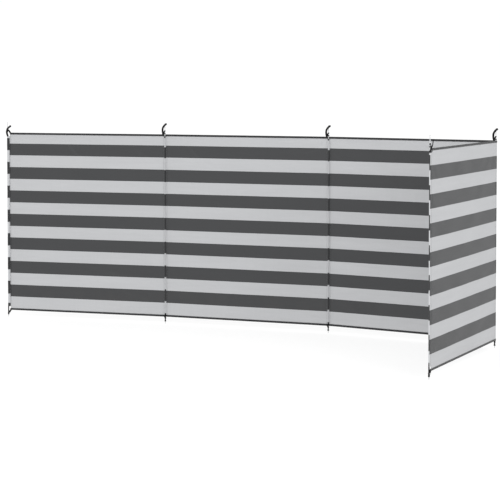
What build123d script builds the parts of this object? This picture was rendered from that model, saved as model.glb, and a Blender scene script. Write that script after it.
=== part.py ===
from build123d import *
import os
from math import cos, sin, radians

# Beach windbreak: a striped cloth wall in four equal bays on five steel rods.
# Millimetres, +Z up. The origin is the flat end of pole 1's spike. Bay 1 runs
# along +X, the weather side faces +Y, and the run turns towards -Y.

# ---- driving dimensions -------------------------------------------------
BAY = 1400.0            # pole to pole
BAY_TURN = (0.0, -4.0, -10.0, -86.5)   # turn of each bay from the one before it
CLOTH_H = 1500.0        # cloth height over its edge tapes
CLOTH_Z = 55.0          # lower edge of the cloth above the spike ends
CLOTH_T = 2.0           # plain solid that stands for the cloth
CLOTH_Y = 5.5           # the cloth's mid plane runs behind the rods' axes
TAPE_H = 16.0           # edge tape
TAPE_T = 4.0
TOP_TAPE_START = 20.0   # the first top tape starts this far from an end rod
LOW_TAPE_START = 14.0
LAST_LOW_TAPE = 7.0     # the last bottom tape runs on to the foot ferrule
ROD_D = 6.0
ROD_LEN = 1645.0
SPIKE_D = 5.6           # drawn-down end of the rod below the foot ferrule
ROD_TIP_D = 3.6         # flat end of the spike
ROD_TIP_L = 6.0
SLEEVE_OD = 12.0        # snug pole sleeve of the middle rods
SLEEVE_ID = 8.0
END_SLEEVE_T = 9.8      # flattened sleeve of the end rods, outer thickness
END_SLEEVE_BORE = 7.2
END_SLEEVE_RUN = 7.0    # how much wider than thick it is, towards its own cloth
SLEEVE_FIN = 20.0       # seam allowance reaches this far from the rod's axis
SLEEVE_LOW = 32.0       # sleeve starts this far above the cloth's lower edge
SLEEVE_TOP = 22.0       # and stops this far below its upper edge
END_SLEEVE_TOP = 31.0   # lower at the end rods
NEXT_START = 12.5       # the next bay's cloth starts this far from the axis
FERRULE_D = 9.5         # moulded foot ferrule, up to the sleeve
FERRULE_Z1 = 86.0
COLLAR_D = 13.5         # bead at its lower end
COLLAR_Z0 = 18.0
COLLAR_Z1 = 27.0
HOOK_W = 13.0           # flat moulded hook arm
HOOK_T = 8.0
HOOK_END_D = 13.6       # rounded ends
HOOK_RING_D = 12.0
STRAP_W = 10.0          # webbing loops that hold the cloth to the rod
STRAP_T = 2.0
STRAP_RING_D = 11.0     # round the rod
FOOT_RING_D = 13.5      # round the foot ferrule
STRAP_Y = 5.6           # the leg stands on the edge tape
BACK_Y = 8.6            # a middle rod's lower leg lies on the tape's weather side

TOP = CLOTH_Z + CLOTH_H
LOW = CLOTH_Z

os.makedirs("parts", exist_ok=True)


def save(shape, node):
    export_step(shape, "parts/" + node + ".step")


def zcyl(d, z0, z1, x=0.0, y=0.0):
    return Pos(x, y, (z0 + z1) / 2) * Cylinder(d / 2, z1 - z0)


def block(x0, x1, y0, y1, z0, z1):
    return Pos((x0 + x1) / 2, (y0 + y1) / 2, (z0 + z1) / 2) * Box(x1 - x0, y1 - y0, z1 - z0)


def bar(p, q, w, t):
    # flat webbing bar from p to q, which have the same Y; t along Y and w across
    a = Vector(*p)
    b = Vector(*q)
    d = (b - a)
    pl = Plane(origin=(a + b) * 0.5, x_dir=(0, 1, 0), z_dir=(d.X, d.Y, d.Z))
    return pl * Box(t, w, d.length)


def rod(x):
    shank = zcyl(ROD_D, COLLAR_Z0, ROD_LEN - 2.0, x) + zcyl(SPIKE_D, ROD_TIP_L, COLLAR_Z0, x)
    tip = Pos(x, 0, ROD_TIP_L / 2) * Cone(ROD_TIP_D / 2, SPIKE_D / 2, ROD_TIP_L)
    top = Pos(x, 0, ROD_LEN - 1.0) * Cone(ROD_D / 2, ROD_D / 2 - 1.2, 2.0)
    return shank + tip + top


def foot(x):
    bead = zcyl(COLLAR_D, COLLAR_Z0, COLLAR_Z1, x)
    bead = chamfer(bead.edges().filter_by(GeomType.CIRCLE), 1.2)
    body = bead + zcyl(FERRULE_D, COLLAR_Z0 + 2, FERRULE_Z1, x)
    return body - zcyl(ROD_D, COLLAR_Z0 - 1, FERRULE_Z1 + 1, x)


def sleeve(x):
    # its seam fin runs towards -X, to the cloth of the same bay
    z0, z1 = LOW + SLEEVE_LOW, TOP - SLEEVE_TOP
    tube = zcyl(SLEEVE_OD, z0, z1, x)
    fin = block(x - SLEEVE_FIN, x - 3.0, CLOTH_Y - CLOTH_T / 2, CLOTH_Y + CLOTH_T / 2, z0, z1)
    return (tube + fin) - zcyl(SLEEVE_ID, z0 - 1, z1 + 1, x)


def end_sleeve(x, side):
    # side -1: its cloth is towards -X, +1: towards +X
    z0, z1 = LOW + SLEEVE_LOW, TOP - END_SLEEVE_TOP
    mid = x + side * END_SLEEVE_RUN / 2
    outer = SlotCenterToCenter(END_SLEEVE_RUN, END_SLEEVE_T)
    inner = SlotCenterToCenter(END_SLEEVE_RUN, END_SLEEVE_BORE)
    tube = extrude(Pos(mid, 0, z0) * (outer - inner), z1 - z0)
    f0, f1 = sorted((x + side * 5.0, x + side * SLEEVE_FIN))
    fin = block(f0, f1, 3.8, CLOTH_Y + CLOTH_T / 2, z0, z1)
    return tube + fin


def arm(pts, facing):
    # flat bar along the points, its thickness along the direction facing at the first one
    path = Spline([Vector(*p) for p in pts])
    t0 = path % 0
    n = Vector(*facing)
    n = (n - t0 * n.dot(t0)).normalized()
    section = Plane(origin=path @ 0, x_dir=n, z_dir=t0) * RectangleRounded(HOOK_T, HOOK_W, 2.4)
    return sweep(section, path=path), path


def hook(x, pts, y, ring_z):
    bar_, path = arm([(px, y, TOP + pz) for px, pz in pts], (0, 1, 0))
    for q in (path @ 0, path @ 1):
        bar_ += Plane(origin=q, z_dir=(0, 1, 0)) * Cylinder(HOOK_END_D / 2, HOOK_T)
    ring = zcyl(HOOK_RING_D, TOP + ring_z[0], TOP + ring_z[1])
    near = min(pts, key=lambda p: abs(p[1] - sum(ring_z) / 2))[0]
    b0, b1 = sorted((near, 0.0))
    web = block(b0 - 1.5, b1 + 1.5, y + 1.0, -3.0, TOP + ring_z[0] + 1, TOP + ring_z[1] - 1)
    body = bar_ + ring + web
    return Pos(x, 0, 0) * (body - zcyl(ROD_D, LOW, TOP + 200))


def last_hook(x, pts, ring_z):
    bar_, path = arm([(px, py, TOP + pz) for px, py, pz in pts], (pts[0][0], pts[0][1], 0))
    ring = zcyl(HOOK_RING_D, TOP + ring_z[0], TOP + ring_z[1])
    m = min(pts, key=lambda p: abs(p[2] - sum(ring_z) / 2))
    d = Vector(m[0], m[1], 0)
    pl = Plane(origin=d * 0.5 + Vector(0, 0, TOP + sum(ring_z) / 2), x_dir=(d.X, d.Y, 0), z_dir=(0, 0, 1))
    web = pl * Box(d.length - 1.0, 6.0, ring_z[1] - ring_z[0] - 2)
    body = bar_ + ring + web
    return Pos(x, 0, 0) * (body - zcyl(ROD_D, LOW, TOP + 200))


def strap(x, z0, z1, p, q, ring_d, bore):
    ring = zcyl(ring_d, z0, z1, x)
    body = ring + bar((x + p[0], STRAP_Y, p[1]), (x + q[0], STRAP_Y, q[1]), STRAP_W, STRAP_T)
    return body - zcyl(bore, LOW - 100, TOP + 200, x)


def back_strap(x):
    # ring under the tape, its leg up behind the tape
    z0, z1 = LOW - 15, LOW - 3
    body = zcyl(FOOT_RING_D, z0, z1, x) + block(x - 6.0, x + 1.0, 5.0, BACK_Y + STRAP_T / 2, z0 + 1, z1 - 1)
    body += bar((x - 3.5, BACK_Y, LOW - 9), (x - 12.0, BACK_Y, LOW + 10), STRAP_W, STRAP_T)
    return body - zcyl(FERRULE_D, LOW - 100, TOP, x)


# hook arms: offsets (x, z) from the rod at the cloth's upper edge
HOOK_MID = ((-13.0, 5.0), (-17.0, 22.0), (-16.0, 48.0), (-5.0, 68.0), (12.0, 82.9))
HOOK_END = ((5.5, -25.0), (0.0, -9.0), (-2.0, 8.0), (6.0, 33.0), (30.0, 54.0))
# the last pole's arm winds from the end side to the outer side: offsets (x, y, z)
HOOK_LAST = ((14.0, 4.0, -25.5), (12.0, 7.7, -14.0), (8.0, 12.2, 0.0), (3.0, 14.8, 11.0),
             (-4.0, 16.7, 22.0), (-12.0, 16.7, 39.0), (-18.0, 15.9, 53.0))

# ---- placement of the bays ---------------------------------------------
places = []
px, py, ang = 0.0, 0.0, 0.0
for k in range(4):
    ang += BAY_TURN[k]
    places.append(Pos(px, py, 0) * Rot(0, 0, ang))
    px += BAY * cos(radians(ang))
    py += BAY * sin(radians(ang))

# ---- cloth and edge tapes of each bay ----------------------------------
CY0, CY1 = CLOTH_Y - CLOTH_T / 2, CLOTH_Y + CLOTH_T / 2
TY0, TY1 = CLOTH_Y - TAPE_T / 2, CLOTH_Y + TAPE_T / 2
for k in range(4):
    here = places[k]
    x0 = SLEEVE_FIN if k == 0 else NEXT_START
    x1 = BAY - SLEEVE_FIN
    cloth = block(x0, x1, CY0, CY1, LOW + TAPE_H, TOP - TAPE_H)
    save(here * cloth, "panel_%d" % (k + 1))
    t0 = TOP_TAPE_START if k == 0 else NEXT_START
    t1 = BAY - TOP_TAPE_START if k == 3 else BAY - 10.5
    u0 = LOW_TAPE_START if k == 0 else NEXT_START
    u1 = BAY - LAST_LOW_TAPE if k == 3 else BAY - 10.5
    up = block(t0, t1, TY0, TY1, TOP - TAPE_H, TOP)
    low = block(u0, u1, TY0, TY1, LOW, LOW + TAPE_H)
    save(here * up, "top_binding_%d" % (k + 1))
    save(here * low, "bottom_binding_%d" % (k + 1))

# ---- poles with what is on them -----------------------------------------
for n in range(1, 6):
    bay = 0 if n == 1 else n - 2
    here = places[bay]
    x = 0.0 if n == 1 else BAY
    end = n in (1, 5)
    s = 1 if n == 1 else -1       # side on which the pole's own cloth lies
    save(here * rod(x), "pole_%d" % n)
    save(here * foot(x), "foot_collar_%d" % n)
    save(here * (end_sleeve(x, s) if end else sleeve(x)), "sleeve_%d" % n)
    if end:
        made = hook(x, HOOK_END, -10.0, (4.0, 14.0)) if n == 1 else last_hook(x, HOOK_LAST, (4.0, 14.0))
        save(here * made, "guy_hook_%d" % n)
        save(here * strap(x, TOP + 21, TOP + 33, (s * 2.0, TOP + 28), (s * 21.0, TOP + 3.2), STRAP_RING_D, ROD_D), "top_strap_%d" % n)
        far = 18.0 if n == 1 else 10.0
        save(here * strap(x, LOW - 27, LOW - 15, (s * 1.5, LOW - 20), (s * far, LOW - 3.8), FOOT_RING_D, FERRULE_D), "bottom_strap_%d" % n)
    else:
        save(here * hook(x, HOOK_MID, -9.0, (3.0, 12.0)), "guy_hook_%d" % n)
        save(here * strap(x, TOP + 21, TOP + 33, (-2.0, TOP + 28), (-15.0, TOP + 3.0), STRAP_RING_D, ROD_D), "top_strap_%d" % n)
        save(here * back_strap(x), "bottom_strap_%d" % n)
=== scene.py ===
import math

import bpy
import numpy as np
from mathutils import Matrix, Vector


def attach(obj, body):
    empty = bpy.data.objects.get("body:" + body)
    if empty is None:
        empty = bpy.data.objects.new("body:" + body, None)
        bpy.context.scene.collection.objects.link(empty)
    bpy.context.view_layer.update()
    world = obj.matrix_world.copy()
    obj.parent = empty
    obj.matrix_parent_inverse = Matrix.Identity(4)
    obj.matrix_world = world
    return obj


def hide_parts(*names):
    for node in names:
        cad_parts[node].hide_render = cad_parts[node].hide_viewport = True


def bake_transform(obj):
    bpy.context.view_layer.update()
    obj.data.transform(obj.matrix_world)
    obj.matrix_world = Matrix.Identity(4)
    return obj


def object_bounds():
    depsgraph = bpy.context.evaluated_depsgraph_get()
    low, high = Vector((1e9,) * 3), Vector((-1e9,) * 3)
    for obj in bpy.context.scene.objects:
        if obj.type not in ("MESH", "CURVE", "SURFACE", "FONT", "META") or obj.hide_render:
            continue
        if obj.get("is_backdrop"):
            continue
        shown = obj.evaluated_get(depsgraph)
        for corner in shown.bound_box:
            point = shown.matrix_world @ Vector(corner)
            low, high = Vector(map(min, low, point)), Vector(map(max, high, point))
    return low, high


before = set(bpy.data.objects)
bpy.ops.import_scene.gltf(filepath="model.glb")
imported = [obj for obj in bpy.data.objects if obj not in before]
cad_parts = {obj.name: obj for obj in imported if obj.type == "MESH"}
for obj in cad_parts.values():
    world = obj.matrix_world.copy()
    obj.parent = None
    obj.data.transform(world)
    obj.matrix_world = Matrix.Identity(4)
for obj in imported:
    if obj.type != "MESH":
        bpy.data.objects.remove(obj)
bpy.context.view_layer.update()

# Striped beach windbreak: cloth wall in four bays on five steel rods.
# Lengths in this file are millimetres in a bay's own frame (x along the bay,
# y to the weather side, z up) until they are placed, in metres.

BAY = 1400.0
TURN = (0.0, -4.0, -10.0, -86.5)
LOW, TOP = 55.0, 1555.0
H = TOP - LOW
CLOTH_Y = 5.5
T_CLOTH = 0.45          # half the cloth's thickness
JOIN = 12.5             # the cloth turns between 12.5 mm each side of a rod
SLEEVE_LOW, SLEEVE_TOP, END_SLEEVE_TOP = LOW + 32.0, TOP - 22.0, TOP - 31.0

ORIGIN, ANGLE = [], []
_x, _y, _a = 0.0, 0.0, 0.0
for _k in range(4):
    _a += TURN[_k]
    ORIGIN.append((_x, _y))
    ANGLE.append(math.radians(_a))
    _x += BAY * math.cos(math.radians(_a))
    _y += BAY * math.sin(math.radians(_a))
rng = np.random.default_rng(11)


def place(k, p):
    """Points of bay k's frame, in mm, to the row frame, in metres."""
    p = np.asarray(p, float)
    c, s = math.cos(ANGLE[k]), math.sin(ANGLE[k])
    out = np.empty_like(p)
    out[..., 0] = ORIGIN[k][0] + c * p[..., 0] - s * p[..., 1]
    out[..., 1] = ORIGIN[k][1] + s * p[..., 0] + c * p[..., 1]
    out[..., 2] = p[..., 2]
    return out * 0.001


def smooth(t):
    t = np.clip(t, 0, 1)
    return t * t * (3 - 2 * t)


def place_turn(j, p):
    """Points about pole j's axis (x from the axis), turned with the cloth, to the row frame."""
    p = np.asarray(p, float)
    a = j - 2
    w = smooth((p[..., 0] + JOIN) / (2 * JOIN)) * math.radians(TURN[j - 1])
    c, s = np.cos(w), np.sin(w)
    q = np.empty_like(p)
    q[..., 0] = BAY + c * p[..., 0] - s * p[..., 1]
    q[..., 1] = s * p[..., 0] + c * p[..., 1]
    q[..., 2] = p[..., 2]
    return place(a, q)


# ---- mesh helpers --------------------------------------------------------

def make_mesh(name, verts, quads, uv=None, mats=(), slots=None, smooth_faces=None):
    me = bpy.data.meshes.new(name)
    verts = np.asarray(verts, float).reshape(-1, 3)
    quads = [tuple(int(i) for i in q) for q in quads] if not isinstance(quads, np.ndarray) else quads.tolist()
    me.from_pydata(verts.tolist(), [], quads)
    if uv is not None:
        layer = me.uv_layers.new(name="cloth")
        corner = np.empty(len(me.loops), np.int32)
        me.loops.foreach_get("vertex_index", corner)
        layer.data.foreach_set("uv", np.asarray(uv, np.float32)[corner].ravel())
    for m in mats:
        me.materials.append(m)
    flags = np.ones(len(me.polygons), bool) if smooth_faces is None else np.asarray(smooth_faces, bool)
    me.polygons.foreach_set("use_smooth", flags)
    if slots is not None:
        me.polygons.foreach_set("material_index", np.asarray(slots, np.int32))
    me.update()
    ob = bpy.data.objects.new(name, me)
    bpy.context.scene.collection.objects.link(ob)
    return ob


def slab(name, A, B, uv, mats, slots=None):
    """Closed thin cloth from its two faces, grids of the same shape; slots is a grid of the cells' materials."""
    nu, nv = A.shape[:2]
    n = nu * nv
    idx = np.arange(n).reshape(nu, nv)
    cell = np.stack([idx[:-1, :-1], idx[1:, :-1], idx[1:, 1:], idx[:-1, 1:]], -1).reshape(-1, 4)
    mi, mj = nu // 2, nv // 2
    u = A[mi, mj - 1] - A[mi - 1, mj - 1]
    v = A[mi - 1, mj] - A[mi - 1, mj - 1]
    out = A[mi - 1, mj - 1] - B[mi - 1, mj - 1]
    flip = np.dot(np.cross(u, v), out) < 0
    if flip:
        front, back = cell[:, ::-1], cell + n
    else:
        front, back = cell, cell[:, ::-1] + n
    loop = np.concatenate([idx[:, 0], idx[-1, 1:], idx[-2::-1, -1], idx[0, -2:0:-1]])
    nxt = np.roll(loop, -1)
    rim = np.stack([loop, loop + n, nxt + n, nxt], -1) if not flip else np.stack([loop, nxt, nxt + n, loop + n], -1)
    quads = np.concatenate([front, back, rim])
    flags = np.concatenate([np.ones(2 * len(cell), bool), np.zeros(len(rim), bool)])
    verts = np.concatenate([A.reshape(-1, 3), B.reshape(-1, 3)])
    uvs = np.concatenate([uv.reshape(-1, 2)] * 2)
    sl = None
    if slots is not None:
        flat = np.asarray(slots).reshape(-1)
        sl = np.concatenate([flat, flat, np.full(len(rim), flat[0])])
    return make_mesh(name, verts, quads, uvs, mats, sl, flags)


def normals_of(P):
    """Unit normals of a grid of points."""
    du = np.gradient(P, axis=0)
    dv = np.gradient(P, axis=1)
    n = np.cross(du, dv)
    return n / np.maximum(np.linalg.norm(n, axis=-1, keepdims=True), 1e-12)


def thick_slab(name, P, half, uv, mats, slots=None):
    """Closed cloth of the given half thickness (mm) about a grid of row-frame points."""
    n = normals_of(P)
    h = np.asarray(half, float) * 0.001
    if h.ndim:
        h = h[..., None]
    return slab(name, P + n * h, P - n * h, uv, mats, slots)


def spread(a, b, ends, mid, band):
    """Lines from a to b, spaced by ends within band of each end and by mid between."""
    n1 = max(1, int(round(band / ends)))
    n2 = max(1, int(math.ceil((b - a - 2 * band) / mid)))
    return np.concatenate([
        np.linspace(a, a + band, n1 + 1)[:-1],
        np.linspace(a + band, b - band, n2 + 1)[:-1],
        np.linspace(b - band, b, n1 + 1),
    ])


# ---- materials -----------------------------------------------------------

class Nodes:
    def __init__(self, name):
        self.m = bpy.data.materials.new(name)
        self.m.use_nodes = True
        self.t = self.m.node_tree
        self.t.nodes.clear()
        self.out = self.t.nodes.new("ShaderNodeOutputMaterial")
        self.bsdf = self.t.nodes.new("ShaderNodeBsdfPrincipled")
        self.t.links.new(self.bsdf.outputs[0], self.out.inputs[0])

    def new(self, kind, **props):
        n = self.t.nodes.new(kind)
        for k, v in props.items():
            setattr(n, k, v)
        return n

    def link(self, a, b):
        self.t.links.new(a, b)

    def set(self, **values):
        for k, v in values.items():
            self.bsdf.inputs[k.replace("_", " ")].default_value = v

    def math(self, op, a, b=None, c=None, clamp=False):
        n = self.new("ShaderNodeMath", operation=op, use_clamp=clamp)
        for i, v in enumerate((a, b, c)):
            if v is None:
                continue
            if isinstance(v, (int, float)):
                n.inputs[i].default_value = v
            else:
                self.link(v, n.inputs[i])
        return n.outputs[0]

    def uv(self):
        n = self.new("ShaderNodeUVMap")
        n.uv_map = "cloth"
        return n.outputs[0]

    def obj(self):
        return self.new("ShaderNodeTexCoord").outputs["Object"]

    def scaled(self, vec, x, y, z=1.0, off=(0, 0, 0)):
        n = self.new("ShaderNodeMapping")
        n.inputs["Scale"].default_value = (x, y, z)
        n.inputs["Location"].default_value = off
        self.link(vec, n.inputs["Vector"])
        return n.outputs[0]

    def noise(self, vec, scale=1.0, detail=2.0, rough=0.5, dims="3D"):
        n = self.new("ShaderNodeTexNoise", noise_dimensions=dims)
        n.inputs["Scale"].default_value = scale
        n.inputs["Detail"].default_value = detail
        n.inputs["Roughness"].default_value = rough
        self.link(vec, n.inputs["Vector"])
        return n.outputs[0]

    def wave(self, vec, scale, direction="X", profile="SIN"):
        n = self.new("ShaderNodeTexWave", wave_type="BANDS", bands_direction=direction, wave_profile=profile)
        n.inputs["Scale"].default_value = scale
        self.link(vec, n.inputs["Vector"])
        return n.outputs[1]

    def mix(self, fac, a, b, blend="MIX"):
        n = self.new("ShaderNodeMix", data_type="RGBA", blend_type=blend)
        for sock, v in ((n.inputs[0], fac), (n.inputs[6], a), (n.inputs[7], b)):
            if isinstance(v, (int, float)):
                sock.default_value = v
            elif isinstance(v, tuple):
                sock.default_value = (*v, 1.0) if len(v) == 3 else v
            else:
                self.link(v, sock)
        return n.outputs[2]

    def grey(self, value):
        n = self.new("ShaderNodeCombineColor")
        for i in range(3):
            self.link(value, n.inputs[i])
        return n.outputs[0]

    def bump(self, height, dist, strength=1.0, normal=None):
        n = self.new("ShaderNodeBump")
        n.inputs["Strength"].default_value = strength
        n.inputs["Distance"].default_value = dist
        self.link(height, n.inputs["Height"])
        if normal is not None:
            self.link(normal, n.inputs["Normal"])
        return n.outputs[0]


def cloth_material(name, dark_bands, light, dark, light_rough=0.74, dark_rough=0.5, spec=0.5):
    """Woven polyester, striped by height: dark_bands are parts of the cloth's height from its top edge."""
    g = Nodes(name)
    obj, uv = g.obj(), g.uv()
    sep = g.new("ShaderNodeSeparateXYZ")
    g.link(obj, sep.inputs[0])
    # the stripes' woven edges wander by a thread or two
    edge = g.noise(g.scaled(uv, 240, 900), 1.0, 1.0)
    edge = g.math("MULTIPLY_ADD", edge, 0.0010, -0.0005)
    z = g.math("ADD", sep.outputs[2], edge)
    part = g.math("MULTIPLY_ADD", z, -1000.0 / H, TOP / H)
    stripe = None
    for a, b in dark_bands:
        inside = g.math("COMPARE", part, 0.5 * (a + b), 0.5 * (b - a))
        stripe = inside if stripe is None else g.math("ADD", stripe, inside)
    base = g.mix(stripe, light, dark)
    # yarn and dye: slubs along the weft, a slow drift over the bolt, fine heather
    slub = g.noise(g.scaled(uv, 7, 420), 1.0, 3.0, 0.6)
    drift = g.noise(g.scaled(uv, 1.7, 26), 1.0, 2.0)
    warp = g.noise(g.scaled(uv, 160, 3), 1.0, 2.0)
    cloud = g.noise(obj, 2.2, 3.0)
    v = g.math("MULTIPLY_ADD", slub, 0.16, 0.92)
    v = g.math("MULTIPLY", v, g.math("MULTIPLY_ADD", drift, 0.09, 0.955))
    v = g.math("MULTIPLY", v, g.math("MULTIPLY_ADD", warp, 0.05, 0.975))
    v = g.math("MULTIPLY", v, g.math("MULTIPLY_ADD", cloud, 0.05, 0.975))
    # dust and handling near the ground
    low = g.math("MULTIPLY", g.math("SUBTRACT", 0.42, sep.outputs[2]), 2.6, clamp=True)
    dust = g.math("MULTIPLY", low, g.math("MULTIPLY_ADD", g.noise(obj, 9.0, 5.0, 0.6), 1.6, -0.55, clamp=True))
    col = g.mix(1.0, base, g.grey(v), "MULTIPLY")
    col = g.mix(g.math("MULTIPLY", dust, 0.035), col, (0.42, 0.36, 0.28))
    g.link(col, g.bsdf.inputs["Base Color"])
    # dark yarn is a little smoother than the light
    r = g.math("MULTIPLY_ADD", stripe, dark_rough - light_rough, light_rough)
    r = g.math("MULTIPLY_ADD", slub, 0.10, g.math("ADD", r, -0.05))
    g.link(r, g.bsdf.inputs["Roughness"])
    g.set(**{"Specular_IOR_Level": spec, "Sheen_Weight": 0.06, "Sheen_Roughness": 0.4, "IOR": 1.45})
    # plain weave, slubs, and soft handling creases
    wa = g.wave(uv, 330.0, "X")
    wb = g.wave(uv, 330.0, "Y")
    weave = g.math("MULTIPLY", wa, wb)
    n1 = g.bump(weave, 0.00012, 0.6)
    n2 = g.bump(slub, 0.0002, 0.5, n1)
    crumple = g.noise(g.scaled(uv, 22, 34), 1.0, 3.0, 0.55)
    n3 = g.bump(crumple, 0.0011, 0.5, n2)
    g.link(n3, g.bsdf.inputs["Normal"])
    return g.m


def webbing_material(name, colour, rib=520.0, rough=0.62, across="X", sheen=0.05):
    """Ribbed tape or webbing."""
    g = Nodes(name)
    uv = g.uv()
    rib_w = g.wave(uv, rib, across)
    fine = g.wave(uv, rib * 0.8, "Y" if across == "X" else "X")
    yarn = g.noise(g.scaled(uv, 900, 60), 1.0, 2.0)
    drift = g.noise(g.scaled(uv, 5, 30), 1.0, 2.0)
    v = g.math("MULTIPLY_ADD", rib_w, 0.22, 0.86)
    v = g.math("MULTIPLY", v, g.math("MULTIPLY_ADD", yarn, 0.24, 0.88))
    v = g.math("MULTIPLY", v, g.math("MULTIPLY_ADD", drift, 0.16, 0.92))
    col = g.mix(1.0, colour, g.grey(v), "MULTIPLY")
    g.link(col, g.bsdf.inputs["Base Color"])
    g.link(g.math("MULTIPLY_ADD", yarn, 0.14, rough - 0.07), g.bsdf.inputs["Roughness"])
    g.set(**{"Specular_IOR_Level": 0.22, "Sheen_Weight": sheen, "Sheen_Roughness": 0.4})
    n1 = g.bump(g.math("ADD", rib_w, g.math("MULTIPLY", fine, 0.5)), 0.00018, 0.8)
    n2 = g.bump(drift, 0.0004, 0.3, n1)
    g.link(n2, g.bsdf.inputs["Normal"])
    return g.m


def thread_material(name, colour):
    g = Nodes(name)
    ply = g.noise(g.scaled(g.obj(), 900, 900, 900), 1.0, 2.0)
    col = g.mix(1.0, colour, g.grey(g.math("MULTIPLY_ADD", ply, 0.4, 0.8)), "MULTIPLY")
    g.link(col, g.bsdf.inputs["Base Color"])
    g.link(g.math("MULTIPLY_ADD", ply, 0.2, 0.4), g.bsdf.inputs["Roughness"])
    g.set(**{"Specular_IOR_Level": 0.4, "Sheen_Weight": 0.1})
    g.link(g.bump(ply, 0.0001, 0.5), g.bsdf.inputs["Normal"])
    return g.m


def steel_material(name):
    """Galvanised steel rod: a soft zinc spangle, drawn lines along it, a dull worn foot."""
    g = Nodes(name)
    obj = g.obj()
    sep = g.new("ShaderNodeSeparateXYZ")
    g.link(obj, sep.inputs[0])
    spangle = g.new("ShaderNodeTexVoronoi", feature="F1")
    spangle.inputs["Scale"].default_value = 140.0
    g.link(obj, spangle.inputs["Vector"])
    drawn = g.noise(g.scaled(obj, 900, 900, 9), 1.0, 3.0)
    cloud = g.noise(obj, 14.0, 4.0, 0.6)
    spots = g.noise(obj, 320.0, 3.0, 0.6)
    v = g.math("MULTIPLY_ADD", cloud, 0.16, 0.9)
    v = g.math("MULTIPLY", v, g.math("MULTIPLY_ADD", spangle.outputs[0], 0.10, 0.94))
    v = g.math("MULTIPLY", v, g.math("MULTIPLY_ADD", drawn, 0.08, 0.96))
    base = g.mix(1.0, (0.66, 0.67, 0.68), g.grey(v), "MULTIPLY")
    foot = g.math("MULTIPLY", g.math("SUBTRACT", 0.060, sep.outputs[2]), 30.0, clamp=True)
    worn = g.math("MULTIPLY", foot, g.math("MULTIPLY_ADD", spots, 2.2, -0.8, clamp=True))
    base = g.mix(g.math("MULTIPLY", worn, 0.55), base, (0.30, 0.27, 0.24))
    g.link(base, g.bsdf.inputs["Base Color"])
    g.link(g.math("MULTIPLY_ADD", drawn, 0.18, g.math("MULTIPLY_ADD", worn, 0.25, 0.32)), g.bsdf.inputs["Roughness"])
    g.set(Metallic=0.85)
    n1 = g.bump(drawn, 0.00006, 0.6)
    n2 = g.bump(spots, 0.00006, 0.5, n1)
    g.link(n2, g.bsdf.inputs["Normal"])
    return g.m


def moulding_material(name, colour):
    """Black moulded nylon: fine spark-eroded grain, scuffs scattered at random."""
    g = Nodes(name)
    obj = g.obj()
    grain = g.noise(obj, 1700.0, 2.0)
    flow = g.noise(g.scaled(obj, 60, 60, 25), 1.0, 3.0)
    scuff = g.noise(g.scaled(obj, 220, 220, 90), 1.0, 5.0, 0.65)
    mark = g.math("MULTIPLY_ADD", scuff, 5.0, -3.1, clamp=True)
    col = g.mix(g.math("MULTIPLY", mark, 0.35), colour, tuple(min(1.0, c * 3.2 + 0.012) for c in colour))
    col = g.mix(1.0, col, g.grey(g.math("MULTIPLY_ADD", flow, 0.3, 0.85)), "MULTIPLY")
    g.link(col, g.bsdf.inputs["Base Color"])
    g.link(g.math("MULTIPLY_ADD", grain, 0.14, g.math("MULTIPLY_ADD", mark, 0.15, 0.46)), g.bsdf.inputs["Roughness"])
    g.set(**{"Specular_IOR_Level": 0.12})
    n1 = g.bump(grain, 0.00005, 0.6)
    n2 = g.bump(scuff, 0.00007, 0.4, n1)
    g.link(n2, g.bsdf.inputs["Normal"])
    return g.m


PANEL_BANDS = [(0.0618, 0.1273), (0.1934, 0.260), (0.3247, 0.3918), (0.4562, 0.5247), (0.5893, 0.6566), (0.722, 0.7897), (0.8558, 0.9231)]
LAST_BANDS = [(0.0766, 0.1410), (0.2054, 0.2704), (0.3353, 0.4005), (0.4649, 0.5307), (0.5943, 0.6608), (0.7248, 0.7918), (0.8564, 0.9229)]
END_BANDS = [(0.0305, 0.0988), (0.1645, 0.2324), (0.2979, 0.3670), (0.4325, 0.5022), (0.566, 0.6355), (0.7005, 0.7705), (0.8342, 0.907), (0.9595, 1.001)]
MID_BANDS = [(0.0706, 0.1304), (0.1947, 0.2610), (0.3261, 0.3914), (0.4562, 0.5220), (0.5866, 0.6507), (0.7167, 0.7814), (0.8479, 0.9134)]

LIGHT = (0.450, 0.4555, 0.4665)
DARK = (0.0352, 0.0364, 0.0384)
M_PANEL = cloth_material("striped_cloth", PANEL_BANDS, LIGHT, DARK)
M_LAST = cloth_material("striped_cloth_last", LAST_BANDS, LIGHT, DARK)
# end sleeves: the lighter light stripes are a painted highlight where the round sleeve catches the light; the darker
# dark stripes are partly the sleeve cloth's own tone and partly painted shade in its folds
M_END_TONE_AND_PAINTED_LIGHT = cloth_material("striped_sleeve_end_tone_and_painted_light", END_BANDS, tuple(c * 1.14 for c in LIGHT), tuple(c * 0.55 for c in DARK))
# middle sleeves: the darker dark stripes are partly the sleeve cloth's own tone and partly painted shade in the folds
# round the rod
M_MID_TONE_AND_PAINTED_SHADE = cloth_material("striped_sleeve_mid_tone_and_painted_shade", MID_BANDS, tuple(c * 0.99 for c in LIGHT), tuple(c * 0.58 for c in DARK))
M_TAPE = webbing_material("edge_tape", (0.0220, 0.0226, 0.0240), rib=420.0, sheen=0.22)
M_WEB = webbing_material("strap_webbing", (0.0070, 0.0070, 0.0075), rib=300.0, rough=0.62, sheen=0.03)
# dark webbing for the sleeve caps, whose tone also serves as painted shade in the sleeves' open tops
M_TACK_AND_SHADE = webbing_material("tack_webbing_and_painted_shade", (0.030, 0.030, 0.032), rib=420.0, rough=0.6)
M_THREAD_D = thread_material("thread_dark", (0.020, 0.020, 0.022))
M_THREAD_G = thread_material("thread_grey", (0.20, 0.20, 0.21))
M_STEEL = steel_material("galvanised_steel")
M_MOULD = moulding_material("black_moulding", (0.0055, 0.0055, 0.0060))

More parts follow.
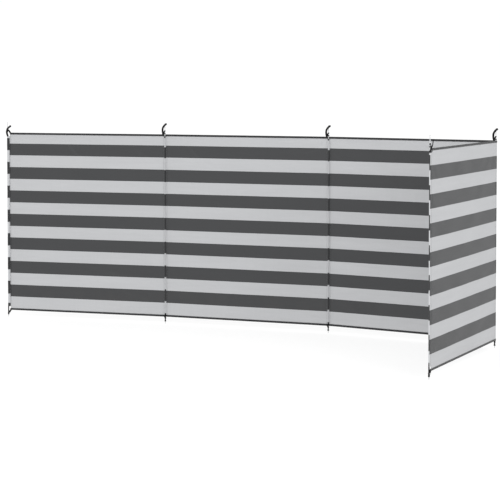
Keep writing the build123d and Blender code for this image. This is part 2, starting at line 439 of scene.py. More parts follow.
# ---- the cloth's relief ---------------------------------------------------
# x, depth under the top edge, both ends, sideways bow, half width, height; mm
CREASES = {
    0: [(540, 40, 672, 190, 22, 15, 2.6), (560, 120, 640, 330, -18, 18, -1.4), (1150, 120, 1275, 186, 10, 13, 2.2),
        (731, 1102, 1269, 1184, 14, 20, 2.2), (14, 395, 118, 446, 8, 11, 1.6), (12, 560, 96, 604, -8, 10, 1.5),
        (14, 800, 104, 866, 9, 12, 1.5), (1010, 1290, 1385, 1440, -20, 20, 1.5), (230, 700, 330, 1010, 30, 26, -1.4)],
    1: [(205, 75, 412, 258, 16, 15, 2.6), (425, 528, 606, 584, 12, 14, 2.2), (30, 1330, 300, 1190, 14, 18, 1.6),
        (940, 700, 1015, 1090, -28, 24, 1.3), (1190, 130, 1380, 44, 8, 14, 1.7), (22, 330, 118, 372, 7, 11, 1.3),
        (700, 930, 905, 1010, 10, 18, -1.3)],
    2: [(640, 25, 596, 820, 34, 30, 3.4), (705, 70, 730, 560, -24, 26, -1.8), (30, 110, 235, 240, 12, 15, 1.9),
        (1010, 260, 1330, 90, 16, 20, 1.8), (240, 1270, 520, 1395, -14, 18, 1.6), (20, 610, 130, 655, 8, 12, 1.4)],
    3: [(120, 60, 760, 700, 46, 60, 1.8), (1380, 60, 1060, 330, -20, 26, 0.9), (1376, 330, 1180, 560, 16, 26, 0.7),
        (300, 1180, 900, 1330, -20, 34, 1.0), (1378, 930, 1200, 1010, 8, 18, 0.7), (60, 880, 420, 960, 14, 34, 0.8)],
}
BILLOW = (4.0, 4.5, 4.5, 5.0)


def relief(k, X, Z, xa, xb):
    """How far the cloth of bay k stands off its plane, mm; 0 along its four edges."""
    D = TOP - Z
    x01 = np.clip((X - xa) / (xb - xa), 0, 1)
    z01 = np.clip((Z - LOW - 16) / (H - 32), 0, 1)
    out = BILLOW[k] * np.sin(np.pi * x01) ** 0.8 * np.sin(np.pi * z01) ** 0.7
    r = np.random.default_rng(100 + k)
    for _ in range(7):
        lx, lz = r.uniform(300, 900), r.uniform(260, 800)
        out = out + r.uniform(0.3, 0.9) * np.sin(2 * np.pi * (X / lx + r.uniform(0, 1))) * np.sin(2 * np.pi * (Z / lz + r.uniform(0, 1)))
    creases = list(CREASES[k])
    for _ in range(12):
        cx, cd, a, ln = r.uniform(60, 1340), r.uniform(60, 1440), r.uniform(-0.9, 0.9), r.uniform(60, 200)
        creases.append((cx - ln * math.cos(a), cd - ln * math.sin(a), cx + ln * math.cos(a), cd + ln * math.sin(a),
                        r.uniform(-14, 14), r.uniform(9, 20), r.uniform(-0.9, 0.9)))
    for x0, d0, x1, d1, bow, width, high in creases:
        p, q = np.array([x0, d0], float), np.array([x1, d1], float)
        long = np.linalg.norm(q - p)
        t = (q - p) / long
        n = np.array([-t[1], t[0]])
        s = ((X - x0) * t[0] + (D - d0) * t[1]) / long
        off = (X - x0) * n[0] + (D - d0) * n[1] - bow * 4 * np.clip(s, -0.2, 1.2) * (1 - np.clip(s, -0.2, 1.2))
        env = smooth((s + 0.18) / 0.36) * smooth((1.18 - s) / 0.36)
        w = width * (0.7 + 0.6 * np.clip(s, 0, 1))
        ridge = np.exp(-(off / w) ** 2) - 0.45 * np.exp(-((off - 1.9 * w) / (1.5 * w)) ** 2)
        out = out + high * env * ridge
    # pull from the corners, where the straps hold the cloth
    for cx, cd in ((xa, 10), (xb, 10), (xa, H - 10), (xb, H - 10)):
        dx, dd = np.abs(X - cx), np.abs(D - cd)
        rad = np.hypot(dx, dd)
        ang = np.arctan2(dd, dx)
        ph = r.uniform(0, 6.28)
        out = out + (1.25, 1.25, 1.25, 0.6)[k] * np.sin(ang * 9 + ph + 0.8 * np.sin(rad / 90)) * smooth(rad / 90) * np.exp(-rad / 170) * np.sin(2 * np.clip(ang, 0, np.pi / 2))
    # the sewn edges gather the cloth a little
    wob = np.sin(X / 61.0 + k) + 0.6 * np.sin(X / 23.0 + 2 * k)
    for dist, ph in ((D - 16, 0.3), (H - 16 - D, 1.9)):
        near = np.exp(-np.clip(dist, 0, None) / 20.0)
        out = out + 0.75 * near * np.sin(2 * np.pi * X / 43.0 + ph + wob)
    wob = np.sin(Z / 57.0 + k) + 0.6 * np.sin(Z / 21.0 + 2 * k)
    for dist, ph in ((X - xa, 0.7), (xb - X, 2.6)):
        near = np.exp(-np.clip(dist, 0, None) / 24.0)
        out = out + 0.85 * near * np.sin(2 * np.pi * Z / 37.0 + ph + wob)
    fade = smooth((D - 15) / 26) * smooth((H - 15 - D) / 26) * smooth((X - xa) / 22) * smooth((xb - X) / 22)
    return out * fade


ZS = spread(LOW + 2.5, TOP - 2.5, 6.0, 11.5, 60.0)

CLOTH_X = [(20.0, BAY - JOIN), (JOIN, BAY - JOIN), (JOIN, BAY - JOIN), (JOIN, BAY - 20.0)]
body = ["bay_1", "bay_2", "bay_3", "bay_4"]
for k in range(4):
    xa, xb = CLOTH_X[k]
    XS = spread(xa, xb, 6.0, 12.0, 54.0)
    X, Z = np.meshgrid(XS, ZS, indexing="ij")
    off = relief(k, X, Z, xa, xb)
    faces = []
    for side in (-1, 1):
        P = np.stack([X, CLOTH_Y + off + side * T_CLOTH, Z], -1)
        faces.append(place(k, P))
    uv = np.stack([X / 1000 + 1.6 * k, Z / 1000], -1)
    ob = slab("cloth_%d" % (k + 1), faces[0], faces[1], uv, [M_LAST if k == 3 else M_PANEL])
    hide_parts("panel_%d" % (k + 1))
    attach(ob, body[k])


# ---- tapes folded over the cloth's edges -----------------------------------

def tape_section(up):
    """Centre line (y, z) of the fold: front leg, fold, back leg. up is 1 for the top tape and -1 for the lower one."""
    r = 1.35
    leg = [(-r, -16.0), (-r, -12.5), (-r, -9.0), (-r, -5.5)]
    arc = [(-r * math.cos(a), -2.0 + 1.45 * math.sin(a)) for a in np.linspace(0, math.pi, 9)]
    pts = leg + arc + [(-y, z) for y, z in leg[::-1]]
    pts = np.array(pts)
    pts[:, 1] -= 0.0
    return np.stack([pts[:, 0], pts[:, 1] * up], -1)


def tape_grid(XS, up, bow=None, seed=0):
    """Grid of the tape's centre surface in a bay's frame."""
    sec = tape_section(up)
    edge = TOP if up > 0 else LOW
    X = np.repeat(XS[:, None], len(sec), 1)
    wave = 0.22 * np.sin(XS / 83.0 + seed) + 0.14 * np.sin(XS / 31.0 + 2.1 * seed)
    free = np.clip((np.abs(sec[:, 1]) - 4) / 12, 0, 1)          # 1 at the legs' free edges
    pull = 0.16 * np.sin(XS[:, None] * 2 * np.pi / 26.0 + seed) * free[None, :]
    Y = CLOTH_Y + sec[None, :, 0] + np.sign(sec[None, :, 0]) * pull + (0 if bow is None else bow[:, None])
    Z = edge - up * 0.55 + sec[None, :, 1] + wave[:, None] * 0.35
    return np.stack([X, Y, Z], -1), sec


def tape_uv(G, sec):
    run = np.concatenate([[0], np.cumsum(np.linalg.norm(np.diff(sec, axis=0), axis=1))])
    return np.stack([G[..., 0] / 1000, np.repeat(run[None, :] / 1000, G.shape[0], 0)], -1)


def bow_at(x, high):
    return high * (1 - np.clip(np.abs(x) / JOIN, 0, 1) ** 2) ** 2


tapes = {}
for k in range(4):
    for up, label in ((1, "top"), (-1, "bottom")):
        xa = (20.0 if up > 0 else 14.0) if k == 0 else JOIN
        xb = BAY - (20.0 if up > 0 else 7.0) if k == 3 else BAY - JOIN
        XS = np.linspace(xa, xb, int((xb - xa) / 7.0))
        G, sec = tape_grid(XS, up, seed=0.0)
        G[..., 2] -= 0.0
        ob = thick_slab("%s_tape_%d" % (label, k + 1), place(k, G), 0.52, tape_uv(G, sec), [M_TAPE])
        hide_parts("%s_binding_%d" % (label, k + 1))
        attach(ob, body[k])
        tapes[(label, k)] = ob

# ---- cloth and tapes where they pass behind the middle rods -----------------


def blend_at(ob, j):
    a = place_turn(j, np.array([-JOIN, CLOTH_Y, 800.0]))
    b = place_turn(j, np.array([JOIN, CLOTH_Y, 800.0]))
    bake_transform(ob)


XJ = np.linspace(-JOIN, JOIN, 21)
for j in (2, 3, 4):
    X, Z = np.meshgrid(XJ, ZS, indexing="ij")
    Y = CLOTH_Y + bow_at(X, 1.7)
    P = place_turn(j, np.stack([X, Y, Z], -1))
    # both faces share the neighbours' offsets at the ends
    n = np.zeros_like(P)
    eps = 0.05
    Pa = place_turn(j, np.stack([X - eps, CLOTH_Y + bow_at(X - eps, 1.7), Z], -1))
    Pb = place_turn(j, np.stack([X + eps, CLOTH_Y + bow_at(X + eps, 1.7), Z], -1))
    t = Pb - Pa
    t /= np.linalg.norm(t, axis=-1, keepdims=True)
    n[..., 0], n[..., 1] = t[..., 1], -t[..., 0]
    uv = np.stack([X / 1000 + 1.6 * (j - 1), Z / 1000], -1)
    ob = slab("cloth_turn_%d" % j, P + n * T_CLOTH * 0.001, P - n * T_CLOTH * 0.001, uv, [M_LAST if j == 4 else M_PANEL])
    blend_at(ob, j)
    for up, label in ((1, "top"), (-1, "bottom")):
        G, sec = tape_grid(XJ + BAY * (j - 1), up, bow=bow_at(XJ, 1.9), seed=0.0)
        uvg = tape_uv(G, sec)
        G[..., 0] -= BAY * (j - 1)
        # the waves of the neighbouring tapes end at this strip, so it takes their height at its ends
        Gl, _ = tape_grid(np.array([BAY - JOIN]), up, seed=0.0)
        Gr, _ = tape_grid(np.array([JOIN]), up, seed=0.0)
        w = smooth((XJ + JOIN) / (2 * JOIN))[:, None]
        base = (1 - w)[..., None] * Gl + w[..., None] * Gr
        G[..., 1] = base[..., 1] + bow_at(XJ, 1.9)[:, None]
        G[..., 2] = base[..., 2]
        ob = thick_slab("%s_tape_turn_%d" % (label, j), place_turn(j, G), 0.52, uvg, [M_TAPE])
        blend_at(ob, j)

# ---- pole sleeves -----------------------------------------------------------


def curve(points, step):
    """Evenly spaced points on a smooth line through the given ones."""
    p = np.asarray(points, float)
    ext = np.vstack([2 * p[0] - p[1], p, 2 * p[-1] - p[-2]])
    out = []
    for i in range(1, len(ext) - 2):
        p0, p1, p2, p3 = ext[i - 1], ext[i], ext[i + 1], ext[i + 2]
        t = np.linspace(0, 1, 24, endpoint=False)[:, None]
        out.append(0.5 * ((2 * p1) + (-p0 + p2) * t + (2 * p0 - 5 * p1 + 4 * p2 - p3) * t ** 2 + (-p0 + 3 * p1 - 3 * p2 + p3) * t ** 3))
    out.append(ext[-2][None])
    out = np.vstack(out)
    run = np.concatenate([[0], np.cumsum(np.linalg.norm(np.diff(out, axis=0), axis=1))])
    n = max(4, int(round(run[-1] / step)))
    s = np.linspace(0, run[-1], n + 1)
    return np.stack([np.interp(s, run, out[:, i]) for i in range(p.shape[1])], -1)


def ring(r, a0, a1, n):
    a = np.radians(np.linspace(a0, a1, n))
    return [(r * math.cos(v), r * math.sin(v)) for v in a]


def hem(Z, z0, z1):
    """1 in the turned hems at both ends of a sleeve."""
    return np.clip(smooth((z0 + 13 - Z) / 1.2) + smooth((Z - z1 + 13) / 1.2), 0, 1)


def sleeve_grid(path, z0, z1, seed, closed_tube=True):
    zs = spread(z0, z1, 1.5, 9.0, 16.0)
    n = len(path)
    G = np.zeros((n, len(zs), 3))
    centre_r = np.hypot(path[:, 0], path[:, 1])
    round_part = smooth((7.4 - centre_r) / 2.0)          # 1 where the cloth goes round the rod
    rad = path / np.maximum(centre_r[:, None], 1e-6)
    a = np.arctan2(path[:, 1], path[:, 0])
    for i, z in enumerate(zs):
        w = 0.20 * np.sin(z / 27.0 + seed + 1.3 * a) + 0.16 * np.sin(z / 11.5 + 2.2 * seed - 2.0 * a) + 0.10 * np.sin(z / 5.9 + seed)
        d = (w - 0.05) * round_part
        G[:, i, 0] = path[:, 0] + rad[:, 0] * d
        G[:, i, 1] = path[:, 1] + rad[:, 1] * d
        G[:, i, 2] = z
    return G, zs


stitches = {b: [] for b in body}


def stitch_line(k, x, y, z0, z1, pitch=5.0, axis="z", facing=-1):
    """Centres of a row of stitches in bay k's frame, with their direction."""
    n = int((z1 - z0) / pitch)
    t = z0 + (np.arange(n) + 0.5) * pitch
    p = np.zeros((n, 3))
    d = np.zeros((n, 3))
    if axis == "z":
        p[:, 0], p[:, 1], p[:, 2] = x, y, t
        d[:, 2] = 1
    else:
        p[:, 0], p[:, 1], p[:, 2] = t, y, x
        d[:, 0] = 1
    stitches[body[k]].append((k, p, d))


LEFT_CURL = [(-8.4, 4.45), (-6.7, 3.95), (-5.6, 2.5), (-5.1, 0.8)]
for j in (2, 3, 4):
    pts = [(-16.0, 4.58), (-12.0, 4.55), *LEFT_CURL, *ring(5.0, 192, 348, 9), *[(-x, y) for x, y in LEFT_CURL[::-1]], (12.0, 4.55), (16.0, 4.58)]
    path = curve(pts, 0.95)
    z0, z1 = SLEEVE_LOW, SLEEVE_TOP
    G, zs = sleeve_grid(path, z0, z1, 1.7 * j)
    run = np.concatenate([[0], np.cumsum(np.linalg.norm(np.diff(path, axis=0), axis=1))])
    uv = np.zeros((*G.shape[:2], 2))
    uv[..., 0] = run[:, None] / 1000 + j
    uv[..., 1] = G[..., 2] / 1000
    half = 0.42 + 0.30 * hem(G[..., 2], z0, z1)
    # the seam allowances beside the rod are the panels' own cloth
    mid_x = 0.5 * (path[:-1, 0] + path[1:, 0])
    cells = np.zeros((G.shape[0] - 1, G.shape[1] - 1), int)
    cells[mid_x < -6.7] = 1
    cells[mid_x > 6.7] = 2
    ob = thick_slab("pole_sleeve_%d" % j, place_turn(j, G), half, uv, [M_MID_TONE_AND_PAINTED_SHADE, M_PANEL, M_LAST if j == 4 else M_PANEL], cells)
    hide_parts("sleeve_%d" % j)
    blend_at(ob, j)
    # a scrap of dark webbing closes the sleeve's upper end in front of the rod; its dark tone also stands for the shade
    # inside the sleeve's open top, which is painted shade
    lean = 0.5 * TURN[j - 1]
    cap = curve(ring(5.95, 215 + lean, 325 + lean, 9), 0.8)
    cz = np.linspace(TOP - 30.5, TOP - 17.0, 12)
    C = np.zeros((len(cap), len(cz), 3))
    C[..., 0], C[..., 1], C[..., 2] = BAY + cap[:, :1], cap[:, 1:], cz[None, :]
    run_c = np.concatenate([[0], np.cumsum(np.linalg.norm(np.diff(cap, axis=0), axis=1))])
    uvc = np.zeros((*C.shape[:2], 2))
    uvc[..., 0], uvc[..., 1] = run_c[:, None] / 1000, C[..., 2] / 1000
    ob = thick_slab("sleeve_cap_%d" % j, place(j - 2, C), 0.42, uvc, [M_TACK_AND_SHADE])
    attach(ob, body[j - 2])
    a, b = j - 2, j - 1
    for kk, xx in ((a, BAY - 14.2), (b, 14.2)):
        stitch_line(kk, xx, 4.05, z0 + 2, z1 - 2)
        stitch_line(kk, xx, CLOTH_Y + T_CLOTH + 0.18, z0 + 2, z1 - 2)

for j, k, s, xo in ((1, 0, 1, 0.0), (5, 3, -1, BAY)):
    flat_in = [(7.0 + 4.3 * math.cos(math.radians(a)), 4.3 * math.sin(math.radians(a))) for a in (22, -5, -35, -65, -90)]
    pts = [(16.5, 4.58), (13.8, 4.50), (12.0, 3.60), *flat_in, (3.5, -4.3), *ring(4.3, -90, -270, 11), (3.5, 4.5), (7.5, 5.05), (11.5, 5.45), (16.0, 5.5), (20.0, 5.5)]
    path = curve(pts, 0.95)
    z0, z1 = SLEEVE_LOW, END_SLEEVE_TOP
    G, zs = sleeve_grid(path, z0, z1, 0.9 * j)
    # the sleeve's own cloth runs to 140 degrees round the back, the panel's from there
    ang = np.degrees(np.arctan2(path[:, 1], path[:, 0]))
    first = int(np.argmax((ang < 138) & (ang > 20) & (path[:, 1] > 3) & (np.arange(len(path)) > len(path) // 2)))
    run = np.concatenate([[0], np.cumsum(np.linalg.norm(np.diff(path, axis=0), axis=1))])
    uv = np.zeros((*G.shape[:2], 2))
    uv[..., 0] = run[:, None] / 1000 + j
    uv[..., 1] = G[..., 2] / 1000
    half = 0.42 + 0.30 * hem(G[..., 2], z0, z1)
    half[:first + 1] *= 1.12
    cells = np.zeros((G.shape[0] - 1, G.shape[1] - 1), int)
    cells[first:] = 1
    L = G.copy()
    L[..., 0] = xo + s * G[..., 0]
    ob = thick_slab("pole_sleeve_%d" % j, place(k, L), half, uv, [M_END_TONE_AND_PAINTED_LIGHT, M_LAST if j == 5 else M_PANEL], cells)
    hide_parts("sleeve_%d" % j)
    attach(ob, body[k])
    for xx in (14.4, 15.6):
        stitch_line(k, xo + s * xx, 3.98, z0 + 14, z1 - 2)
        stitch_line(k, xo + s * xx, 6.15, z0 + 2, z1 - 2)

# tape stitching, both faces of both tapes
for k in range(4):
    xa = 23.0 if k == 0 else JOIN
    xb = BAY - 23.0 if k == 3 else BAY - JOIN
    for zz in (TOP - 14.2, LOW + 14.2):
        for yy in (CLOTH_Y - 2.0, CLOTH_Y + 2.0):
            stitch_line(k, zz, yy, xa, xb, axis="x")


def thread_mesh(name, rows, mat, length=3.4, r=0.36):
    """Short raised stitches, all in one mesh. rows is a list of (centres, directions) in the row frame, metres."""
    C = np.concatenate([c for c, _ in rows])
    D = np.concatenate([d for _, d in rows])
    D = D / np.linalg.norm(D, axis=1, keepdims=True)
    up = np.where(np.abs(D[:, 2:3]) > 0.9, np.array([[1.0, 0, 0]]), np.array([[0, 0, 1.0]]))
    U = np.cross(D, up)
    U /= np.linalg.norm(U, axis=1, keepdims=True)
    V = np.cross(D, U)
    hl, r = length / 2000, r / 1000
    cols = [C - D * hl]
    for t in (-0.62, 0.62):
        for a in range(4):
            an = math.pi / 2 * a
            cols.append(C + D * hl * t + (U * math.cos(an) + V * math.sin(an)) * r)
    cols.append(C + D * hl)
    P = np.stack(cols, 1)
    n = len(C)
    f = []
    for a in range(4):
        b = (a + 1) % 4
        f += [(0, 1 + b, 1 + a, -1), (1 + a, 1 + b, 5 + b, 5 + a), (9, 5 + a, 5 + b, -1)]
    verts = P.reshape(-1, 3)
    faces = []
    base = np.arange(n) * 10
    for q in f:
        if q[3] < 0:
            faces.append(np.stack([base + q[0], base + q[1], base + q[2]], -1))
        else:
            faces.append(np.stack([base + q[0], base + q[1], base + q[2], base + q[3]], -1))
    polys = [tuple(row) for blk in faces for row in blk.tolist()]
    me = bpy.data.meshes.new(name)
    me.from_pydata(verts.tolist(), [], polys)
    me.materials.append(mat)
    me.polygons.foreach_set("use_smooth", np.ones(len(me.polygons), bool))
    me.update()
    ob = bpy.data.objects.new(name, me)
    bpy.context.scene.collection.objects.link(ob)
    return ob


for k in range(4):
    rows = []
    for kk, p, d in stitches[body[k]]:
        c = place(kk, p)
        e = place(kk, p + d) - c
        rows.append((c, e))
    ob = thread_mesh("stitching_%d" % (k + 1), rows, M_THREAD_G)
    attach(ob, body[k])


# ---- moulded hooks ------------------------------------------------------------

def tube(points, radii, seg=16, cap=True):
    """Round arm along points, mm, with a radius at each; closed by round ends."""
    p = np.asarray(points, float)
    pr = np.column_stack([p, radii])
    c = curve(pr, 1.2)
    P, R = c[:, :3], c[:, 3]
    T = np.gradient(P, axis=0)
    T /= np.linalg.norm(T, axis=1, keepdims=True)
    up = np.array([0, 1.0, 0])
    U = np.cross(T, up)
    U /= np.linalg.norm(U, axis=1, keepdims=True)
    V = np.cross(U, T)
    # round ends
    def ends(i, sign):
        out = []
        for a in np.linspace(0, math.pi / 2, 6)[1:]:
            out.append((P[i] + sign * T[i] * R[i] * math.sin(a), max(R[i] * math.cos(a), 0.02), i))
        return out
    stations = [(q, r, i) for q, r, i in ends(0, -1)[::-1]] + [(P[i], R[i], i) for i in range(len(P))] + ends(len(P) - 1, 1)
    rings = []
    for q, r, i in stations:
        a = np.linspace(0, 2 * math.pi, seg, endpoint=False)
        rings.append(q + r * (np.cos(a)[:, None] * U[i] + np.sin(a)[:, None] * V[i]))
    verts = np.vstack(rings)
    quads = []
    m = len(rings)
    for i in range(m - 1):
        for s in range(seg):
            t = (s + 1) % seg
            quads.append((i * seg + s, i * seg + t, (i + 1) * seg + t, (i + 1) * seg + s))
    quads.append(tuple(range(seg))[::-1])
    quads.append(tuple((m - 1) * seg + s for s in range(seg)))
    return verts, quads


def collar_ring(ri, ro, z0, z1, bevel=1.0, seg=40):
    """Ring with rounded edges round the rod's axis."""
    prof = [(ri, z0 + bevel * 0.5), (ri + bevel * 0.5, z0), (ro - bevel, z0), (ro - 0.3 * bevel, z0 + 0.3 * bevel), (ro, z0 + bevel),
            (ro, z1 - bevel), (ro - 0.3 * bevel, z1 - 0.3 * bevel), (ro - bevel, z1), (ri + bevel * 0.5, z1), (ri, z1 - bevel * 0.5)]
    verts, quads = [], []
    n = len(prof)
    for s in range(seg):
        a = 2 * math.pi * s / seg
        verts += [(r * math.cos(a), r * math.sin(a), z) for r, z in prof]
    for s in range(seg):
        t = (s + 1) % seg
        for i in range(n):
            m = (i + 1) % n
            quads.append((s * n + i, t * n + i, t * n + m, s * n + m))
    return np.array(verts), quads


def flat_bar(points, facing, w, t, corner=2.2, channel=0.0, step=1.2, taper=None):
    """Flat bar along points, mm: w across, t along facing (one direction, or one at each point), with a shallow channel in its broad faces."""
    c = curve(points, step)
    T = np.gradient(c, axis=0)
    T /= np.linalg.norm(T, axis=1, keepdims=True)
    F = np.asarray(facing, float)
    if F.ndim == 1:
        N = np.repeat(F[None, :], len(c), 0)
    else:
        src = np.linspace(0, 1, len(F))
        run = np.concatenate([[0], np.cumsum(np.linalg.norm(np.diff(np.asarray(points, float), axis=0), axis=1))])
        at = np.concatenate([[0], np.cumsum(np.linalg.norm(np.diff(c, axis=0), axis=1))])
        N = np.stack([np.interp(at / at[-1], run / run[-1], F[:, i]) for i in range(3)], -1)
    N = N - T * np.sum(N * T, axis=1, keepdims=True)
    N /= np.linalg.norm(N, axis=1, keepdims=True)
    W = np.cross(T, N)
    hw, ht = w / 2, t / 2
    sec = []
    for cx, cy, a0 in ((hw - corner, ht - corner, 0), (-hw + corner, ht - corner, 90), (-hw + corner, -ht + corner, 180), (hw - corner, -ht + corner, 270)):
        for a in np.linspace(a0, a0 + 90, 5):
            sec.append((cx + corner * math.cos(math.radians(a)), cy + corner * math.sin(math.radians(a))))
        if channel and a0 in (0, 180):
            sg = 1 if a0 == 0 else -1
            half_c = hw - corner - 0.9
            sec += [(sg * half_c, sg * ht), (sg * (half_c - 0.9), sg * (ht - channel)), (-sg * (half_c - 0.9), sg * (ht - channel)), (-sg * half_c, sg * ht)]
    sec = np.array(sec)
    m, n = len(c), len(sec)
    grow = np.ones(m) if taper is None else np.interp(np.linspace(0, 1, m), np.linspace(0, 1, len(taper)), taper)
    P = c[:, None, :] + W[:, None, :] * (sec[None, :, :1] * grow[:, None, None]) + N[:, None, :] * sec[None, :, 1:]
    quads = [(i * n + a, i * n + (a + 1) % n, (i + 1) * n + (a + 1) % n, (i + 1) * n + a) for i in range(m - 1) for a in range(n)]
    quads.append(tuple(range(n))[::-1])
    quads.append(tuple((m - 1) * n + a for a in range(n)))
    return P.reshape(-1, 3), quads, (c, N)


def puck(centre, axis, r, t, edge=1.6, seg=36):
    """Round end of a bar: a disc with rolled edges."""
    axis = np.asarray(axis, float) / np.linalg.norm(axis)
    ref = np.array([0, 0, 1.0]) if abs(axis[2]) < 0.9 else np.array([1.0, 0, 0])
    U = np.cross(axis, ref)
    U /= np.linalg.norm(U)
    V = np.cross(axis, U)
    prof = [(r - edge, -t / 2)] + [(r - edge + edge * math.sin(a), -t / 2 + edge - edge * math.cos(a)) for a in np.linspace(0.25, math.pi / 2, 5)]
    prof += [(q, -h) for q, h in prof[::-1]]
    verts = [np.asarray(centre) + q * (math.cos(b) * U + math.sin(b) * V) + h * axis for q, h in prof for b in np.linspace(0, 2 * math.pi, seg, endpoint=False)]
    quads = [(i * seg + b, i * seg + (b + 1) % seg, (i + 1) * seg + (b + 1) % seg, (i + 1) * seg + b) for i in range(len(prof) - 1) for b in range(seg)]
    quads.append(tuple(range(seg))[::-1])
    quads.append(tuple((len(prof) - 1) * seg + b for b in range(seg)))
    return np.array(verts), quads


HOOK_MID = [(-13, 5), (-17, 22), (-16, 48), (-5, 68), (12, 82.9)]
HOOK_END = [(5.5, -25), (0, -9), (-2, 8), (6, 33), (30, 54)]
HOOK_LAST = [(14, 4, -25.5), (12, 7.7, -14), (8, 12.2, 0), (3, 14.8, 11), (-4, 16.7, 22), (-12, 16.7, 39), (-18, 15.9, 53)]


def hook_parts(kind):
    """Arm, ring round the rod, and the web between, in mm about the rod's axis at the cloth's upper edge."""
    if kind == "last":
        pts = [(x, y, z) for x, y, z in HOOK_LAST]
        facing = [(x, y, 0) for x, y, z in HOOK_LAST]
        z0, z1, boss = 4.0, 14.0, -1
        web = [(2.9, 13.6, 9.6), (1.9, 9.0, 9.2), (0.8, 4.6, 9.0)]
        web_face, web_w = (1, 0, 0), 6.5
    else:
        src, y, z0, z1 = (HOOK_END, -10.0, 4.0, 14.0) if kind == "first" else (HOOK_MID, -9.0, 3.0, 12.0)
        pts = [(x, y, z) for x, z in src]
        facing, boss = (0, 1, 0), 1
        zc = (z0 + z1) / 2
        if kind == "first":
            web = [(-1.6, y + 2.0, zc), (-1.0, -6.0, zc), (0.0, -4.2, zc)]
            web_face, web_w = (1, 0, 0), 8.0
        else:
            web = [(-14.0, y + 0.5, zc), (-7.5, y + 1.6, zc), (-2.0, -4.8, zc)]
            web_face, web_w = (0, 1, 0), 7.0
    w, t = (10.6, 5.4) if kind == "last" else (15.0, 8.4)
    V, Q, (c, N) = flat_bar(pts, facing, w, t, channel=1.1)
    parts = [(V, Q)]
    for i in (0, -1):
        parts.append(puck(c[i], N[i], 0.5 * w + 0.3, t + 0.4))
    wv, wq, _ = flat_bar(web, web_face, web_w, 5.4, corner=1.8, step=0.9)
    parts.append((wv, wq))
    parts.append(collar_ring(3.25, 6.1, z0, z1, 1.0) if kind != "last" else collar_ring(3.25, 5.7, z0 + 0.5, z1 - 2.0, 1.0))
    # a clamp ear with its screw boss on the ring's far side
    zc = (z0 + z1) / 2
    parts.append(tube([(0.0, boss * 5.0, zc), (0.0, boss * 6.0, zc), (0.2, boss * 6.9, zc)], [2.7, 2.6, 2.3]))
    return parts


def solid_from(name, parts, voxel, rounds=4, factor=0.5):
    verts, faces, base = [], [], 0
    for v, q in parts:
        verts.append(np.asarray(v))
        faces += [tuple(int(i) + base for i in f) for f in q]
        base += len(v)
    V = np.vstack(verts) * 0.001
    me = bpy.data.meshes.new(name + "_raw")
    me.from_pydata(V.tolist(), [], faces)
    me.update()
    ob = bpy.data.objects.new(name + "_raw", me)
    bpy.context.scene.collection.objects.link(ob)
    rm = ob.modifiers.new("remesh", "REMESH")
    rm.mode = "VOXEL"
    rm.voxel_size = voxel * 0.001
    rm.use_smooth_shade = True
    sm = ob.modifiers.new("smooth", "SMOOTH")
    sm.factor, sm.iterations = factor, rounds
    dg = bpy.context.evaluated_depsgraph_get()
    made = bpy.data.meshes.new_from_object(ob.evaluated_get(dg))
    made.name = name
    bpy.data.objects.remove(ob)
    bpy.data.meshes.remove(me)
    co = np.empty(len(made.vertices) * 3, np.float32)
    made.vertices.foreach_get("co", co)
    return made, co.reshape(-1, 3).astype(float) * 1000


def finish_solid(name, made, co, mat):
    made.vertices.foreach_set("co", (co).astype(np.float32).ravel())
    made.materials.clear()
    made.materials.append(mat)
    made.polygons.foreach_set("use_smooth", np.ones(len(made.polygons), bool))
    made.update()
    ob = bpy.data.objects.new(name, made)
    bpy.context.scene.collection.objects.link(ob)
    return ob


HOOK_VOXEL = 0.8
for j in range(1, 6):
    k = 0 if j == 1 else j - 2
    xo = 0.0 if j == 1 else BAY
    made, co = solid_from("guy_hook_arm_%d" % j, hook_parts({1: "first", 5: "last"}.get(j, "mid")), HOOK_VOXEL)
    co[:, 0] += xo
    co[:, 2] += TOP
    ob = finish_solid("hook_%d" % j, made, place(k, co), M_MOULD)
    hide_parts("guy_hook_%d" % j)
    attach(ob, body[k])


# ---- webbing loops that tie the cloth's corners to the rods ---------------------

def webbing_loop(name, k, xo, side, path, half_w, tails):
    """Webbing along path, mm about the rod's axis with the cloth towards +x, flat against the rod and the tape's faces."""
    c = curve(path, 1.1)
    T = np.gradient(c, axis=0)
    T /= np.linalg.norm(T, axis=1, keepdims=True)
    # outward from the rod round it, and square to the tape on the tails
    rad = c.copy()
    rad[:, 2] = 0
    tail = np.clip(np.hypot(c[:, 0], c[:, 1]) - 7.0, 0, 8)[:, None] / 8.0
    flat = np.zeros_like(c)
    flat[:, 1] = np.where(c[:, 1] < 5.5, -1.0, 1.0)
    rad = rad / np.maximum(np.linalg.norm(rad, axis=1, keepdims=True), 1e-6)
    N = rad * (1 - smooth(tail)) + flat * smooth(tail)
    N = N - T * np.sum(N * T, axis=1, keepdims=True)
    N /= np.linalg.norm(N, axis=1, keepdims=True)
    W = np.cross(T, N)
    ws = np.linspace(-1, 1, 9)
    G = c[:, None, :] + W[:, None, :] * (ws * half_w)[None, :, None]
    run = np.concatenate([[0], np.cumsum(np.linalg.norm(np.diff(c, axis=0), axis=1))])
    uv = np.zeros((*G.shape[:2], 2))
    uv[..., 0] = run[:, None] / 1000
    uv[..., 1] = ws[None, :] * half_w / 1000
    G[..., 0] = xo + side * G[..., 0]
    edge = 0.60 - 0.14 * (np.abs(ws) ** 6)
    ob = thick_slab(name, place(k, G), np.repeat(edge[None, :], G.shape[0], 0), uv, [M_WEB])
    # cross stitches that hold each tail
    rows = []
    for x, y, z in tails:
        for dz in (-1.8, 1.8):
            p = np.array([[xo + side * (x + dx), y, z + dz] for dx in (-3.3, -1.1, 1.1, 3.3)])
            d = np.tile(np.array([[1.0, 0, 0]]), (4, 1))
            cc = place(k, p)
            rows.append((cc, place(k, p + d) - cc))
    return ob, rows


